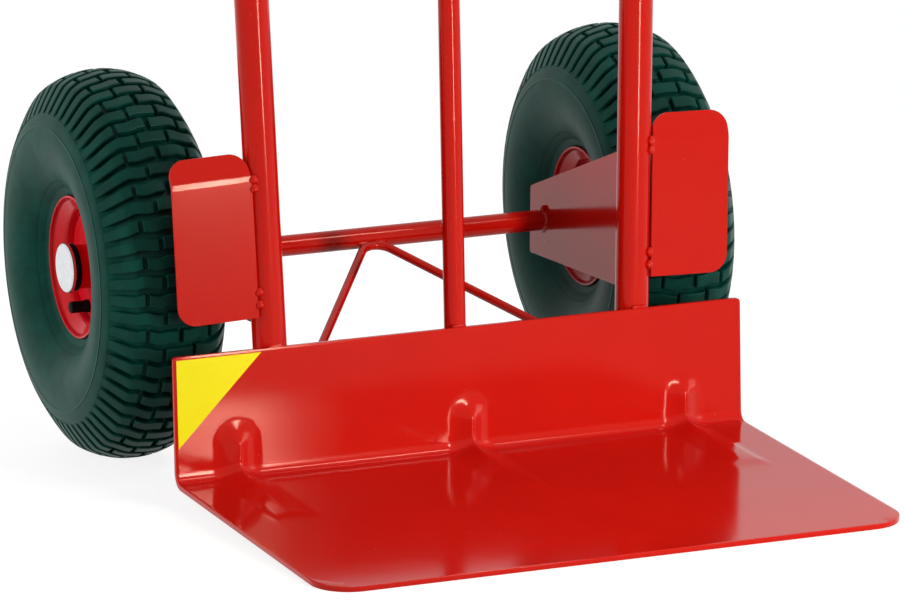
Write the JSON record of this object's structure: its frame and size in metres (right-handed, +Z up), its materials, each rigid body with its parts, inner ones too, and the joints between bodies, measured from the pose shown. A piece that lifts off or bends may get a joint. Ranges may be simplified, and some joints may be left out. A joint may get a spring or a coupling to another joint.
{
  "type": "sack truck",
  "caption": "Welded tube sack truck with a sloping bent toe plate, backward bent handles, a rod-braced axle, wheel guards and grooved pneumatic tyres.",
  "frame": {"origin": "middle of the footprint on the floor", "axes": "+X to the right as seen from the load side, +Y towards the wheels and handles, +Z up"},
  "size_m": [0.5414, 0.6548, 1.1689],
  "materials": {
    "red_powder_coat": "gloss",
    "rim_paint": "gloss",
    "tyre_rubber": "matte",
    "grip_rubber": "matte",
    "bright_zinc": "gloss",
    "steel": "satin",
    "black_plastic": "matte",
    "yellow_film": "gloss"
  },
  "bodies": {
    "frame": {"toe_plate": "red_powder_coat", "left_upright": "red_powder_coat", "right_upright": "red_powder_coat", "centre_upright": "red_powder_coat", "top_cross_tube": "red_powder_coat", "left_middle_cross_tube": "red_powder_coat", "right_middle_cross_tube": "red_powder_coat", "axle": "red_powder_coat", "left_axle_bracket": "red_powder_coat", "right_axle_bracket": "red_powder_coat", "v_brace": "red_powder_coat", "left_wheel_guard": "red_powder_coat", "right_wheel_guard": "red_powder_coat", "left_hand_grip": "grip_rubber", "right_hand_grip": "grip_rubber", "corner_sticker": "yellow_film", "guard_welds": "red_powder_coat", "flange_welds": "red_powder_coat", "upright_welds": "red_powder_coat", "bracket_welds": "red_powder_coat", "axle_welds": "red_powder_coat", "brace_welds": "red_powder_coat", "axle_spacers": "red_powder_coat", "inner_washers": "bright_zinc", "outer_washers": "bright_zinc", "circlips": "steel"},
    "left_wheel": {"left_tyre": "tyre_rubber", "left_rim_barrel": "rim_paint", "left_outer_disc": "rim_paint", "left_inner_disc": "rim_paint", "left_hub_tube": "rim_paint", "left_bearings": "steel", "left_hub_cap": "bright_zinc", "left_valve_stem": "black_plastic", "left_valve_cap": "black_plastic"},
    "right_wheel": {"right_tyre": "tyre_rubber", "right_rim_barrel": "rim_paint", "right_outer_disc": "rim_paint", "right_inner_disc": "rim_paint", "right_hub_tube": "rim_paint", "right_bearings": "steel", "right_hub_cap": "bright_zinc", "right_valve_stem": "black_plastic", "right_valve_cap": "black_plastic"}
  },
  "joints": [
    {"name": "left_wheel_spin", "type": "hinge", "parent": "frame", "child": "left_wheel", "pos_m": [-0.21842, 0.17245, 0.155], "axis": [1, 0, 0], "continuous": true},
    {"name": "right_wheel_spin", "type": "hinge", "parent": "frame", "child": "right_wheel", "pos_m": [0.21842, 0.17245, 0.155], "axis": [1, 0, 0], "continuous": true}
  ]
}
